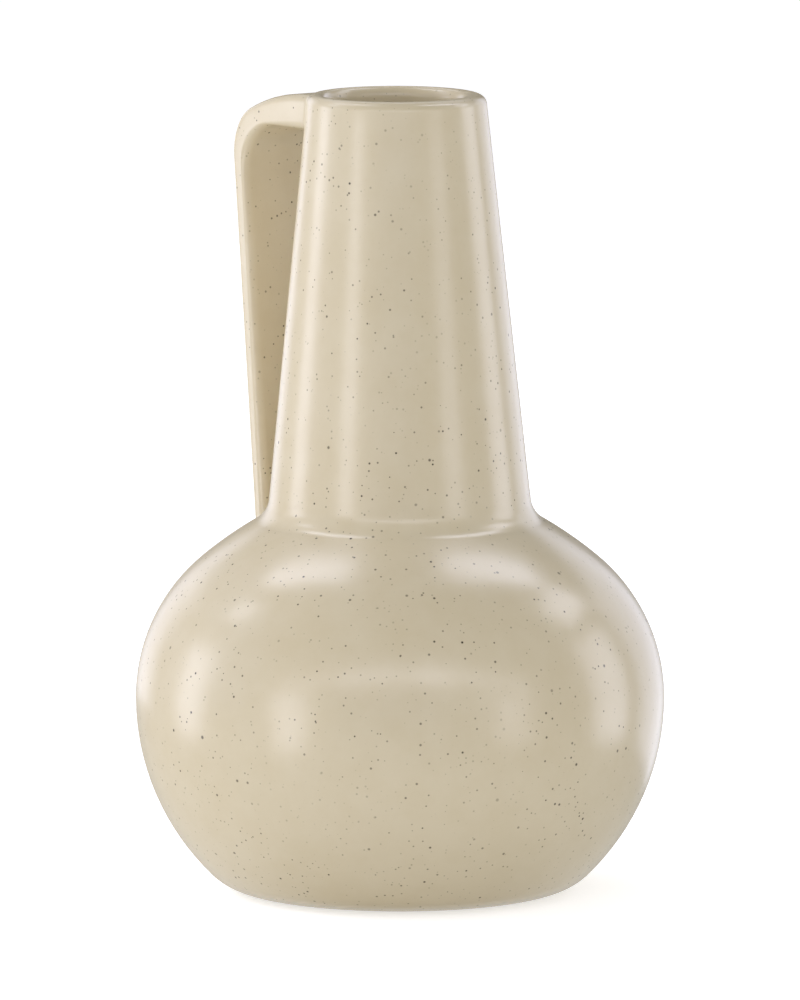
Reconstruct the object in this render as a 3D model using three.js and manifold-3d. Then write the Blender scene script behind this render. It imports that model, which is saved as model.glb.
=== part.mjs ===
// Jug vase in glazed stoneware: round belly, tapering neck and a strap handle from the rim to the shoulder.
// Millimetres, +Z up, centre of the foot at the origin, handle towards -X.
import * as THREE from 'three';
import { mergeVertices } from 'three/addons/utils/BufferGeometryUtils.js';
import Module from 'manifold-3d';

// Overall
const height = 242;

// Belly: two arcs that meet at the widest height, then a straight shoulder up to the neck
const bellyRadius = 80;
const bellyWidestHeight = 59;
const lowerArcRadius = 74.5;
const upperArcRadius = 54.8;
const shoulderTurn = THREE.MathUtils.degToRad(56.7);
const bellyWall = 6;
const baseThickness = 7;
const baseEdgeRadius = 18;

// Foot ring, left bare so that the vase does not stick in the kiln
const footHeight = 0.6;
const footInset = 2.5;
const footWidth = 6;
const footEdge = 0.2;

// Neck: a straight cone with a rounded rim
const neckFootRadius = 40;
const neckTopRadius = 26.9;
const neckWall = 6.8;
const rimOuterRounding = 3;
const rimInnerRounding = 1.2;

// Coil of soft clay worked into the crease at the foot of the neck
const neckFillet = 9;
const coilGroove = 3;

// Strap handle
const handleWidth = 34;
const handleReach = 66.2;
const handleEdge = 2.8;
const armDrop = 1.4;
const armDepth = 10.7;
const crownRadius = 72;
const outerBendRadius = 13.9;
const innerBendRadius = 14;
const strapThickness = 6.5;
const strapLean = THREE.MathUtils.degToRad(5.5);

// Slip that lutes the handle on
const slipLayer = 1.2;
const slipFillet = 3.6;

// Fits and fineness
const clearance = 0.3;
const featherEdge = 0.25;
const cutterMargin = 20;
const roundSegments = 64;
const arcSteps = 9;
const insideSteps = 6;
const filletSteps = 4;
const rimSteps = 5;
const edgeSteps = 3;
const sideSteps = 8;
const crownSteps = 5;
const bendSteps = 7;
const settlePasses = 8;
const weldDistance = 1e-4;

const glaze = new THREE.MeshStandardMaterial({ color: 0xcfc3a6, roughness: 0.35, metalness: 0 });
const bareClay = new THREE.MeshStandardMaterial({ color: 0xb79a78, roughness: 0.9, metalness: 0 });

const wasm = await Module();
wasm.setup();

const quarterTurn = Math.PI / 2;
const point = (x, y) => new THREE.Vector2(x, y);
const angleFrom = (centre, target) => Math.atan2(target.y - centre.y, target.x - centre.x);

// Points of an arc from one angle to another, both ends included
function arc(centre, radius, from, to, steps) {
  const points = [];
  for (let step = 0; step <= steps; step += 1) {
    const angle = from + ((to - from) * step) / steps;
    points.push(point(centre.x + radius * Math.cos(angle), centre.y + radius * Math.sin(angle)));
  }
  return points;
}

// Points of a straight run in even steps, both ends included
function run(from, to, steps) {
  return Array.from({ length: steps + 1 }, (_, step) => from.clone().lerp(to, step / steps));
}

// The later of the two places where a line is a given distance from a centre
function reachOnLine(start, direction, centre, distance) {
  const offset = start.clone().sub(centre);
  const half = offset.dot(direction);
  const travel = -half + Math.sqrt(half * half - offset.lengthSq() + distance * distance);
  return start.clone().addScaledVector(direction, travel);
}

// Circle that rounds the corner between two straight runs, with the angles where it meets them
function cornerCircle(before, corner, after, radius) {
  const back = before.clone().sub(corner).normalize();
  const ahead = after.clone().sub(corner).normalize();
  const halfAngle = Math.acos(back.dot(ahead)) / 2;
  const middle = back.clone().add(ahead).normalize();
  const centre = corner.clone().addScaledVector(middle, radius / Math.sin(halfAngle));
  const setback = radius / Math.tan(halfAngle);
  const from = angleFrom(centre, corner.clone().addScaledVector(back, setback));
  const to = angleFrom(centre, corner.clone().addScaledVector(ahead, setback));
  const turn = Math.atan2(Math.sin(to - from), Math.cos(to - from));
  return { centre, radius, from, turn };
}

function roundedCorner(before, corner, after, rounding, steps) {
  const { centre, radius, from, turn } = cornerCircle(before, corner, after, rounding);
  return arc(centre, radius, from, from + turn, steps);
}

// Place on the straight line through two points at a given height
function onLine(a, b, z) {
  return a.clone().lerp(b, (z - a.y) / (b.y - a.y));
}

function asSolid(geometry) {
  const bare = geometry.clone();
  bare.deleteAttribute('normal');
  bare.deleteAttribute('uv');
  const merged = mergeVertices(bare, weldDistance);
  const corners = merged.index.array;
  const faces = [];
  for (let face = 0; face < corners.length; face += 3) {
    const [a, b, c] = corners.slice(face, face + 3);
    if (a !== b && b !== c && c !== a) {
      faces.push(a, b, c);
    }
  }
  return new wasm.Manifold(new wasm.Mesh({
    numProp: 3,
    vertProperties: new Float32Array(merged.attributes.position.array),
    triVerts: new Uint32Array(faces),
  }));
}

function asGeometry(solid) {
  const mesh = solid.getMesh();
  const geometry = new THREE.BufferGeometry();
  geometry.setAttribute('position', new THREE.BufferAttribute(new Float32Array(mesh.vertProperties), 3));
  geometry.setIndex(new THREE.BufferAttribute(new Uint32Array(mesh.triVerts), 1));
  geometry.computeVertexNormals();
  return geometry;
}

// Turns a profile of (radius, height) points about +Z
function turned(profile) {
  const geometry = new THREE.LatheGeometry(profile, roundSegments);
  geometry.rotateX(quarterTurn);
  return geometry;
}

// Lines that the turned pieces share
const lowerCentre = point(bellyRadius - lowerArcRadius, bellyWidestHeight);
const upperCentre = point(bellyRadius - upperArcRadius, bellyWidestHeight);
const shoulderOutward = point(Math.cos(shoulderTurn), Math.sin(shoulderTurn));
const shoulderUp = point(-shoulderOutward.y, shoulderOutward.x);
const shoulderStart = upperCentre.clone().addScaledVector(shoulderOutward, upperArcRadius);
const alongShoulder = (start, radius) => start.clone()
  .addScaledVector(shoulderUp, (start.x - radius) / shoulderOutward.y);

const seatEdge = alongShoulder(shoulderStart, neckFootRadius);
const seatHeight = seatEdge.y;
const openingRadius = neckFootRadius - neckWall;
const seatInner = point(openingRadius, seatHeight);
const rimCorner = point(neckTopRadius, height);
const mouthCorner = point(neckTopRadius - neckWall, height);
const neckUp = rimCorner.clone().sub(seatEdge).normalize();
const neckOutward = point(neckUp.y, -neckUp.x);
const neckRadiusAt = (z) => onLine(seatEdge, rimCorner, z).x;

// Height of the belly's outer surface above a radius inside the widest circle
function shoulderHeightAt(radius) {
  if (radius < shoulderStart.x) {
    return alongShoulder(shoulderStart, radius).y;
  }
  return upperCentre.y + Math.sqrt(upperArcRadius ** 2 - (radius - upperCentre.x) ** 2);
}

// Belly: flat base, rounded base edge, outer arcs, shoulder, flat seat for the neck, then the inside
const baseRounding = reachOnLine(
  point(lowerCentre.x, footHeight + baseEdgeRadius), point(1, 0), lowerCentre, lowerArcRadius - baseEdgeRadius);
const baseTangent = angleFrom(lowerCentre, baseRounding);
const innerLowerRadius = lowerArcRadius - bellyWall;
const innerUpperRadius = upperArcRadius - bellyWall;
const innerShoulderStart = upperCentre.clone().addScaledVector(shoulderOutward, innerUpperRadius);
const floorHeight = footHeight + baseThickness;
const floorAngle = Math.asin((floorHeight - lowerCentre.y) / innerLowerRadius);

const belly = turned([
  point(0, footHeight),
  ...arc(baseRounding, baseEdgeRadius, -quarterTurn, baseTangent, filletSteps),
  ...arc(lowerCentre, lowerArcRadius, baseTangent, 0, arcSteps).slice(1),
  ...arc(upperCentre, upperArcRadius, 0, shoulderTurn, arcSteps).slice(1),
  seatEdge,
  seatInner,
  alongShoulder(innerShoulderStart, openingRadius),
  ...arc(upperCentre, innerUpperRadius, shoulderTurn, 0, insideSteps),
  ...arc(lowerCentre, innerLowerRadius, 0, floorAngle, insideSteps).slice(1),
  point(0, floorHeight),
]);

// Foot ring under the flat of the base
const footOuter = baseRounding.x - footInset;
const footInner = footOuter - footWidth;
const footRing = turned([
  point(footInner, footHeight),
  point(footInner, footEdge),
  point(footInner + footEdge, 0),
  point(footOuter - footEdge, 0),
  point(footOuter, footEdge),
  point(footOuter, footHeight),
  point(footInner, footHeight),
]);

// Neck: stands on the belly's seat, its outer foot edge bevelled for the coil
const bevelFoot = point(neckFootRadius - coilGroove, seatHeight);
const bevelTop = seatEdge.clone().addScaledVector(neckUp, coilGroove);
const neck = turned([
  seatInner,
  bevelFoot,
  bevelTop,
  ...roundedCorner(seatEdge, rimCorner, mouthCorner, rimOuterRounding, rimSteps),
  ...roundedCorner(rimCorner, mouthCorner, seatInner, rimInnerRounding, edgeSteps),
  seatInner,
]);

// Coil in the crease: fills the bevel and makes the hollow curve from the neck into the shoulder
const crease = cornerCircle(shoulderStart, seatEdge, rimCorner, neckFillet);
const coilTrim = Math.sign(crease.turn) * Math.acos(1 - (clearance + featherEdge) / neckFillet);
const coilFace = arc(
  crease.centre, neckFillet, crease.from + coilTrim, crease.from + crease.turn - coilTrim, filletSteps);
const coilToe = coilFace[0];
const coilTop = coilFace[coilFace.length - 1];
const bevelSlope = bevelTop.clone().sub(bevelFoot).normalize();
const coilProfile = [
  point(bevelFoot.x + clearance / bevelSlope.y, seatHeight),
  seatEdge,
  seatEdge.clone().addScaledVector(shoulderOutward, clearance),
  coilToe.clone().addScaledVector(shoulderOutward, -featherEdge),
  ...coilFace,
  coilTop.clone().addScaledVector(neckOutward, -featherEdge),
  bevelTop.clone().addScaledVector(neckOutward, clearance),
];
const neckCoil = turned([...coilProfile, coilProfile[0]]);

// Solids of revolution that cut the handle and its slip to the body, each standing off by a gap
const neckCone = (gap) => asSolid(turned([
  point(0, seatHeight - cutterMargin),
  point(neckRadiusAt(seatHeight - cutterMargin) + gap, seatHeight - cutterMargin),
  point(neckRadiusAt(height + cutterMargin) + gap, height + cutterMargin),
  point(0, height + cutterMargin),
]));
const roundedNeck = (gap) => asSolid(turned([
  point(0, seatHeight),
  point(neckFootRadius + gap, seatHeight),
  ...roundedCorner(
    point(neckFootRadius + gap, seatHeight), point(neckTopRadius + gap, height + gap),
    point(0, height + gap), rimOuterRounding + gap, rimSteps),
  point(0, height + gap),
]));
const shoulder = (gap) => {
  const start = shoulderStart.clone().addScaledVector(shoulderOutward, gap);
  return asSolid(turned([
    point(0, bellyWidestHeight),
    ...arc(upperCentre, upperArcRadius + gap, 0, shoulderTurn, arcSteps),
    alongShoulder(start, 0),
  ]));
};
const coilCore = (gap) => asSolid(turned([
  point(0, seatHeight - cutterMargin),
  point(coilToe.x + gap, seatHeight - cutterMargin),
  point(coilToe.x + gap, seatHeight + cutterMargin),
  point(0, seatHeight + cutterMargin),
]));

// Rounded rectangle about the origin, grown outwards, with its long sides in short steps
function sectionLoop(halfAcross, halfAlong, grow) {
  const across = halfAcross - handleEdge;
  const along = halfAlong - handleEdge;
  const corner = handleEdge + grow;
  const cornerAt = (x, y, turns) => arc(
    point(x * across, y * along), corner, turns * quarterTurn, (turns + 1) * quarterTurn, edgeSteps);
  const side = (from, to) => run(from, to, sideSteps).slice(1, -1);
  return [
    ...cornerAt(1, 1, 0),
    ...side(point(across, along + corner), point(-across, along + corner)),
    ...cornerAt(-1, 1, 1),
    ...cornerAt(-1, -1, 2),
    ...side(point(-across, -along - corner), point(across, -along - corner)),
    ...cornerAt(1, -1, 3),
  ];
}

// Closed skin over a stack of loops; the first and last loops fold flat onto their own middle line
function skinned(loops) {
  const count = loops[0].length;
  const faces = [];
  for (let level = 0; level + 1 < loops.length; level += 1) {
    const low = level * count;
    const high = low + count;
    for (let place = 0; place < count; place += 1) {
      const next = (place + 1) % count;
      faces.push(low + place, low + next, high + next, low + place, high + next, high + place);
    }
  }
  const geometry = new THREE.BufferGeometry().setFromPoints(loops.flat());
  geometry.setIndex(faces);
  return asSolid(geometry);
}

// Handle: an outer and an inner line in (reach, height) that run side by side from the rim to the shoulder
const strapDown = point(-Math.sin(strapLean), -Math.cos(strapLean));
const strapOutward = point(Math.cos(strapLean), -Math.sin(strapLean));
const strapTop = point(handleReach, height);
const strapInner = strapTop.clone().addScaledVector(strapOutward, -strapThickness);
const outerAt = (z) => onLine(strapTop, strapTop.clone().add(strapDown), z);
const innerAt = (z) => onLine(strapInner, strapInner.clone().add(strapDown), z);
const strapEnd = shoulderHeightAt(outerAt(seatHeight).x) - cutterMargin / 2;

const armTop = height - armDrop;
const underside = armTop - armDepth;
const rootStart = neckTopRadius - neckWall;
const crownCentre = point(neckTopRadius, armTop - crownRadius);
const bendPath = outerAt(strapEnd).addScaledVector(strapOutward, -outerBendRadius);
const bendCentre = reachOnLine(bendPath, strapDown.clone().negate(), crownCentre, crownRadius - outerBendRadius);
const crownEnd = angleFrom(crownCentre, bendCentre);
const bendEnd = Math.atan2(strapOutward.y, strapOutward.x);

const outerLine = [
  point(rootStart, armTop),
  ...arc(crownCentre, crownRadius, quarterTurn, crownEnd, crownSteps),
  ...arc(bendCentre, outerBendRadius, crownEnd, bendEnd, bendSteps).slice(1),
  outerAt(strapEnd),
];
const innerBend = roundedCorner(
  point(rootStart, underside), innerAt(underside), innerAt(strapEnd), innerBendRadius, bendSteps);
const innerLine = [
  point(rootStart, underside),
  ...run(point(neckTopRadius, underside), innerBend[0], crownSteps),
  ...innerBend.slice(1),
  innerAt(strapEnd),
];

// Section across the handle between the two lines, grown outwards
function handleLoop(outer, inner, grow, fold) {
  const middle = outer.clone().lerp(inner, 0.5);
  const out = outer.clone().sub(inner).normalize();
  return sectionLoop(handleWidth / 2, outer.distanceTo(inner) / 2, grow).map(({ x, y }) => {
    const place = middle.clone().addScaledVector(out, y * fold);
    return new THREE.Vector3(-place.x, -x, place.y);
  });
}

function strap(grow) {
  const last = outerLine.length - 1;
  const loopAt = (station, fold) => handleLoop(outerLine[station], innerLine[station], grow, fold);
  const loops = outerLine.map((_, station) => loopAt(station, 1));
  return skinned([loopAt(0, 0), ...loops, loopAt(last, 0)])
    .subtract(neckCone(slipLayer - grow))
    .subtract(shoulder(slipLayer - grow));
}
const handle = strap(0);
const handleClear = strap(clearance);

// Levels of the slip's hollow fillet: how far above the surface, and how far out from the handle
const slipTrim = Math.acos(1 - (clearance + featherEdge) / slipFillet);
const slipCentre = point(slipFillet, slipFillet);
const slipFace = arc(slipCentre, slipFillet, 2 * quarterTurn + slipTrim, 3 * quarterTurn - slipTrim, filletSteps)
  .map(({ x, y }) => ({ above: x, out: y }));
const slipLevels = [{ above: -slipFillet, out: slipFace[0].out }, ...slipFace];

// Slip round one end of the handle; place(across, along, above) lays its section on the body
function slipSkin(halfAcross, halfAlong, place) {
  const loopAt = ({ above, out }, fold) => sectionLoop(halfAcross, halfAlong, out)
    .map(({ x, y }) => place(x, y * fold, above));
  const first = loopAt(slipLevels[0], 0);
  const last = loopAt(slipLevels[slipLevels.length - 1], 0);
  return skinned([first, ...slipLevels.map((level) => loopAt(level, 1)), last]);
}

// Slip at the rim: the arm's section carried onto the neck, and cut level with the rim
const rootMiddle = (armTop + underside) / 2;
const ontoNeck = (across, along, above) => {
  const z = rootMiddle + along;
  const surface = Math.sqrt(neckRadiusAt(z) ** 2 - across ** 2);
  return new THREE.Vector3(-surface - above, -across, z);
};
const aboveRim = new THREE.BoxGeometry(2 * handleReach, 2 * handleReach, cutterMargin);
aboveRim.translate(0, 0, height + cutterMargin / 2);
const rootSlip = slipSkin(handleWidth / 2, armDepth / 2, ontoNeck)
  .subtract(roundedNeck(clearance))
  .subtract(handleClear)
  .subtract(asSolid(aboveRim));

// Slip at the shoulder: the strap's section carried down its own lean onto the belly
const strapMiddle = (z) => (innerAt(z).x + outerAt(z).x) / 2;
const ontoShoulder = (across, along, above) => {
  let z = seatHeight;
  for (let pass = 0; pass < settlePasses; pass += 1) {
    z = shoulderHeightAt(Math.hypot(strapMiddle(z) + along, across));
  }
  return new THREE.Vector3(-strapMiddle(z + above) - along, across, z + above);
};
const footSlip = slipSkin(handleWidth / 2, strapThickness / 2, ontoShoulder)
  .subtract(shoulder(clearance))
  .subtract(handleClear)
  .subtract(coilCore(clearance));

const vase = new THREE.Group();
vase.name = 'jug_vase';

function addPiece(name, geometry, material) {
  const piece = new THREE.Mesh(geometry, material);
  piece.name = name;
  vase.add(piece);
}

addPiece('belly', belly, glaze);
addPiece('foot_ring', footRing, bareClay);
addPiece('neck', neck, glaze);
addPiece('neck_coil', neckCoil, glaze);
addPiece('strap_handle', asGeometry(handle), glaze);
addPiece('handle_root_slip', asGeometry(rootSlip), glaze);
addPiece('handle_foot_slip', asGeometry(footSlip), glaze);

export default vase;
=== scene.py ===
"""Looks of the glazed stoneware jug vase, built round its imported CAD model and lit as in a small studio."""
import math
from types import SimpleNamespace

import bmesh
import bpy
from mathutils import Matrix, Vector


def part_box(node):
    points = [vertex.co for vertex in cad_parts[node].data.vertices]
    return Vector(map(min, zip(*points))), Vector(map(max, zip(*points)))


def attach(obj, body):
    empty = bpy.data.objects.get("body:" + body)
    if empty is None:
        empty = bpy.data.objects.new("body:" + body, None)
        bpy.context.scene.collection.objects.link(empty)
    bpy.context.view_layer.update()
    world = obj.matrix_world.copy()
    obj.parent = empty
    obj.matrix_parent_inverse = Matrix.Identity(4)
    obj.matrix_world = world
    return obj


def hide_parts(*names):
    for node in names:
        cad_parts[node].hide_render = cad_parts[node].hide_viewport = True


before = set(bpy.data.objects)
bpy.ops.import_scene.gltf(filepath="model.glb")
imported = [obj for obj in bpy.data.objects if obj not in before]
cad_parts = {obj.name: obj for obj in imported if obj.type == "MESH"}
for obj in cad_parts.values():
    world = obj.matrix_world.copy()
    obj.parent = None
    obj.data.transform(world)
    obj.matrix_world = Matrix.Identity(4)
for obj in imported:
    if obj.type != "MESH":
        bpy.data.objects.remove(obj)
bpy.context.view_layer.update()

bl_info = {
    "name": "Jug vase",
    "version": (1, 0, 0),
    "blender": (4, 5, 0),
    "location": "View3D > Sidebar > Jug vase",
    "description": "Builds the glazed pieces of a stoneware jug vase and its studio",
    "category": "Add Mesh",
}

BODY = "root"

MM = 0.001
QUARTER = math.pi / 2
SEED_SIZE = 1 * MM
WELD = 0.002 * MM
SMOOTH_ANGLE = math.radians(35)
HALVINGS = 44

# How finely the pieces are drawn
TURN_STEPS = 192
ARC_STEP = math.radians(3)
BASE_STEPS = 6
FLOOR_STEPS = 4
SHOULDER_STEPS = 24
FOOT_EDGE_STEPS = 6
NECK_STEPS = 24
BORE_STEPS = 12
RIM_STEPS = 16
LIP_STEPS = 12
COIL_STEPS = 18
CROWN_STEPS = 20
BEND_STEPS = 22
ARM_STEPS = 8
STRAP_STEPS = 24
SLIP_STEPS = 14
LONG_SIDE_STEPS = 20
SHORT_SIDE_STEPS = 4
EDGE_STEPS = 8

# How the joined pieces reach into each other, out of sight. The handle's ends close in shares
# of their section, and the slip at its root may climb a share of the way up to the rim
COIL_SINK = 0.001 * MM
COIL_TUCK = 4 * COIL_SINK
COIL_OVERLAP = 1.5 * MM
COIL_ROOT = 0.25
BURIED_SHARE = 0.2
END_SHARES = (0.02, 0.3, 0.6, 0.85, 1)
RIM_SHARE = 0.8
RIM_OVERLAP = 0.1
SLIP_SINK = 0.02 * MM
SLIP_OVERLAP = 0.4 * MM
SLIP_DEPTH = 1 * MM

# Sizes of the marks in the glaze and the clay
POOL_SIZE = 45 * MM
FLECK_SIZE = 9 * MM
THICK_SPAN = (0.75, 1.25)
CROWD_SIZE = 24 * MM
CROWD_SPAN = (0.38, 0.6)
CROWD_LEAST = 0.3
SPECK_LAYERS = ((1.9 * MM, 0.57 * MM), (4.4 * MM, 0.76 * MM))
SPECK_LEAST = 0.4
SPECK_CORE = 0.45
RIPPLE_SIZE = 16 * MM
RIPPLE_HEIGHT = 0.06 * MM
GRIT_SIZE = 0.9 * MM
GRIT_SPAN = (0.45, 0.75)
GRIT_HEIGHT = 0.15 * MM
GRIT_STRENGTH = 0.6
CLAY_ROUGHNESS = 0.88
CERAMIC_IOR = 1.5

# Sockets of a mix node that take and give colours
MIX_FIRST = 6
MIX_SECOND = 7
MIX_RESULT = 2

# Softboxes as the glaze shows them: name, turn from the camera, rise, width and height in degrees, radiance
SOFTBOXES = (
    ("left_panel", -102, 3, 17, 34, 2.80),
    ("left_top_patch", -104, 40, 8, 11, 4.00),
    ("front_left_panel", -48, -3, 15, 29, 3.80),
    ("front_right_panel", 49, -2, 17, 26, 2.15),
    ("right_panel", 103, 5, 23, 41, 2.60),
    ("right_top_patch", 111, 39, 21, 14, 3.70),
    ("back_left_overhead", -124, 62, 8, 26, 5.70),
    ("back_right_overhead", 127, 61, 9, 28, 5.50),
    ("front_spot_left", -14, 27, 9, 7, 2.00),
    ("front_spot_right", 15, 26, 9, 8, 2.70),
    ("front_band", 1, 27, 110, 8, 2.40),
    ("back_band", 180, 42, 36, 16, 0.90),
    ("back_wall_left", -149, 7, 25, 32, 0.90),
    ("back_wall_right", 144, 6, 37, 46, 1.15),
)

# Wide lamps that light the glaze without showing in it, strongest from the left
KEY_LIGHTS = (
    ("key_front", -5, 12, 50, 50, 0.72),
    ("key_left", -95, 15, 50, 60, 1.50),
    ("key_right", 95, 15, 50, 60, 0.30),
    ("key_back_left", -140, 25, 40, 50, 1.50),
)

# A cool white, since the photographed highlights are cooler than the glaze
LAMP_COLOUR = (0.96, 0.98, 1.18)
LAMP_DISTANCE = 1.5
LAMP_TARGET = Vector((0, 0, 92 * MM))

# Power of an area lamp for one square metre and a radiance of one
AREA_TO_RADIANCE = 4

# Floor: its grey, and how much it glows for the vase and for the camera
FLOOR_SIZE = 16.0
FLOOR_GREY = (0.75, 0.75, 0.75, 1)
FLOOR_GLOW = 0.20
FLOOR_GLOW_SEEN = 0.6
WHITE = (1, 1, 1, 1)

# Room, by how far up a direction points: the mirrored floor gives way to the walls over one span,
# and the dark under the vase to the floor over the other
CEILING_SHARE = 0.7
SWEEP_LEVEL = 0.82
WALL_LEVEL = 0.10
SWEEP_SPAN = (-0.45, 0.05)
UNDER_LEVEL = 0.15
UNDER_SPAN = (-0.95, -0.7)

# Camera, in millimetres on its sensor
SENSOR_HEIGHT = 36
LENS = 476.5

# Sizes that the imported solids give
neck_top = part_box("neck")[1].z
belly_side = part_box("belly")[1].x
foot_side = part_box("foot_ring")[1].x
handle_width = 2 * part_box("strap_handle")[1].y


def linear(hex_colour):
    """Turns an sRGB hex value to the linear colour that shaders take."""
    channels = [int(hex_colour[place:place + 2], 16) / 255 for place in (1, 3, 5)]
    return tuple(value / 12.92 if value <= 0.04045 else ((value + 0.055) / 1.055) ** 2.4
                 for value in channels)


class VaseSizes(bpy.types.PropertyGroup):
    """Sizes of the vase that a user would change."""

    height: bpy.props.FloatProperty(
        name="Height", description="From the foot to the rim",
        default=neck_top, unit="LENGTH", subtype="DISTANCE")
    belly_radius: bpy.props.FloatProperty(
        name="Belly radius", description="Radius at the widest place",
        default=belly_side, unit="LENGTH", subtype="DISTANCE")
    belly_widest: bpy.props.FloatProperty(
        name="Widest height", description="Height of the widest place",
        default=59 * MM, unit="LENGTH", subtype="DISTANCE")
    lower_arc: bpy.props.FloatProperty(
        name="Lower arc", description="Radius of the belly's curve below the widest place",
        default=74.5 * MM, unit="LENGTH", subtype="DISTANCE")
    upper_arc: bpy.props.FloatProperty(
        name="Upper arc", description="Radius of the belly's curve above the widest place",
        default=54.8 * MM, unit="LENGTH", subtype="DISTANCE")
    shoulder_turn: bpy.props.FloatProperty(
        name="Shoulder turn", description="Turn of the upper curve whose tangent runs to the neck's seat",
        default=math.radians(56.7), unit="ROTATION", subtype="ANGLE")
    wall: bpy.props.FloatProperty(
        name="Wall", description="Thickness of the belly",
        default=6 * MM, unit="LENGTH", subtype="DISTANCE")
    neck_wall: bpy.props.FloatProperty(
        name="Neck wall", description="Thickness of the neck and its rim",
        default=6.8 * MM, unit="LENGTH", subtype="DISTANCE")
    shoulder_ease: bpy.props.FloatProperty(
        name="Shoulder ease",
        description="How much sooner the upper curve eases into the shoulder's wide curve",
        default=math.radians(6.7), min=math.radians(1), unit="ROTATION", subtype="ANGLE")
    neck_lean: bpy.props.FloatProperty(
        name="Neck lean", description="How far the rim stands off the axis, towards the handle",
        default=1.7 * MM, min=0, unit="LENGTH", subtype="DISTANCE")
    mouth_lean: bpy.props.FloatProperty(
        name="Mouth lean", description="How far the mouth stands off the rim's middle, towards the handle",
        default=1.5 * MM, min=0, unit="LENGTH", subtype="DISTANCE")
    base_thickness: bpy.props.FloatProperty(
        name="Base", description="Thickness of the floor of the belly",
        default=7 * MM, unit="LENGTH", subtype="DISTANCE")
    base_edge: bpy.props.FloatProperty(
        name="Base edge", description="Rounding where the belly turns under",
        default=18 * MM, unit="LENGTH", subtype="DISTANCE")
    foot_height: bpy.props.FloatProperty(
        name="Foot height", description="How far the foot ring lifts the base",
        default=0.6 * MM, unit="LENGTH", subtype="DISTANCE")
    foot_radius: bpy.props.FloatProperty(
        name="Foot radius", description="Outer radius of the foot ring",
        default=foot_side, unit="LENGTH", subtype="DISTANCE")
    foot_width: bpy.props.FloatProperty(
        name="Foot width", description="Width of the foot ring",
        default=6 * MM, unit="LENGTH", subtype="DISTANCE")
    neck_foot_radius: bpy.props.FloatProperty(
        name="Neck foot radius", description="Outer radius where the neck meets the shoulder",
        default=40 * MM, unit="LENGTH", subtype="DISTANCE")
    neck_top_radius: bpy.props.FloatProperty(
        name="Neck top radius", description="Outer radius at the rim before its rounding",
        default=26.9 * MM, unit="LENGTH", subtype="DISTANCE")
    rim_outer: bpy.props.FloatProperty(
        name="Rim rounding", description="Rounding of the rim's outer edge",
        default=3 * MM, unit="LENGTH", subtype="DISTANCE")
    rim_inner: bpy.props.FloatProperty(
        name="Lip rounding", description="Rounding of the rim's inner edge",
        default=3 * MM, unit="LENGTH", subtype="DISTANCE")
    neck_fillet: bpy.props.FloatProperty(
        name="Neck fillet", description="Hollow curve from the neck into the shoulder",
        default=9 * MM, unit="LENGTH", subtype="DISTANCE")
    handle_width: bpy.props.FloatProperty(
        name="Handle width", description="Width of the strap handle",
        default=handle_width, unit="LENGTH", subtype="DISTANCE")
    handle_reach: bpy.props.FloatProperty(
        name="Handle reach", description="Axis to the strap's outer face, carried up to the rim's level",
        default=66.2 * MM, unit="LENGTH", subtype="DISTANCE")
    handle_edge: bpy.props.FloatProperty(
        name="Handle edge", description="Rounding along the strap's edges",
        default=2.8 * MM, unit="LENGTH", subtype="DISTANCE")
    strap_thickness: bpy.props.FloatProperty(
        name="Strap thickness", description="Thickness of the upright strap",
        default=6.5 * MM, unit="LENGTH", subtype="DISTANCE")
    strap_lean: bpy.props.FloatProperty(
        name="Strap lean", description="How far the strap leans in towards the shoulder",
        default=math.radians(5.5), unit="ROTATION", subtype="ANGLE")
    arm_drop: bpy.props.FloatProperty(
        name="Arm drop", description="How far the arm's top lies below the rim",
        default=1.4 * MM, unit="LENGTH", subtype="DISTANCE")
    arm_depth: bpy.props.FloatProperty(
        name="Arm depth", description="Depth of the arm where it leaves the neck",
        default=10.7 * MM, unit="LENGTH", subtype="DISTANCE")
    crown: bpy.props.FloatProperty(
        name="Crown", description="Radius of the arm's top",
        default=72 * MM, unit="LENGTH", subtype="DISTANCE")
    outer_bend: bpy.props.FloatProperty(
        name="Outer bend", description="Radius outside the bend from arm to strap",
        default=13.9 * MM, unit="LENGTH", subtype="DISTANCE")
    inner_bend: bpy.props.FloatProperty(
        name="Inner bend", description="Radius inside the bend from arm to strap",
        default=14 * MM, unit="LENGTH", subtype="DISTANCE")
    slip_fillet: bpy.props.FloatProperty(
        name="Slip fillet", description="Hollow curve where the handle is luted on",
        default=2.4 * MM, unit="LENGTH", subtype="DISTANCE")


class VaseFinish(bpy.types.PropertyGroup):
    """Colours and gloss of the vase that a user would change."""

    glaze_light: bpy.props.FloatVectorProperty(
        name="Glaze, thick", description="Colour where the glaze lies thick",
        default=linear("#D4C7A8"), subtype="COLOR", min=0, max=1)
    glaze_deep: bpy.props.FloatVectorProperty(
        name="Glaze, thin", description="Colour where the clay warms a thinner glaze",
        default=linear("#D0C2A1"), subtype="COLOR", min=0, max=1)
    speck: bpy.props.FloatVectorProperty(
        name="Specks", description="Colour of the iron specks",
        default=linear("#2A1D12"), subtype="COLOR", min=0, max=1)
    clay: bpy.props.FloatVectorProperty(
        name="Bare clay", description="Colour of the unglazed foot",
        default=linear("#B79C7B"), subtype="COLOR", min=0, max=1)
    clay_grit: bpy.props.FloatVectorProperty(
        name="Clay grit", description="Colour of the grit in the bare clay",
        default=linear("#8E7456"), subtype="COLOR", min=0, max=1)
    gloss: bpy.props.FloatProperty(
        name="Glaze roughness", description="Lower is glossier",
        default=0.25, min=0, max=1, subtype="FACTOR")


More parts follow.
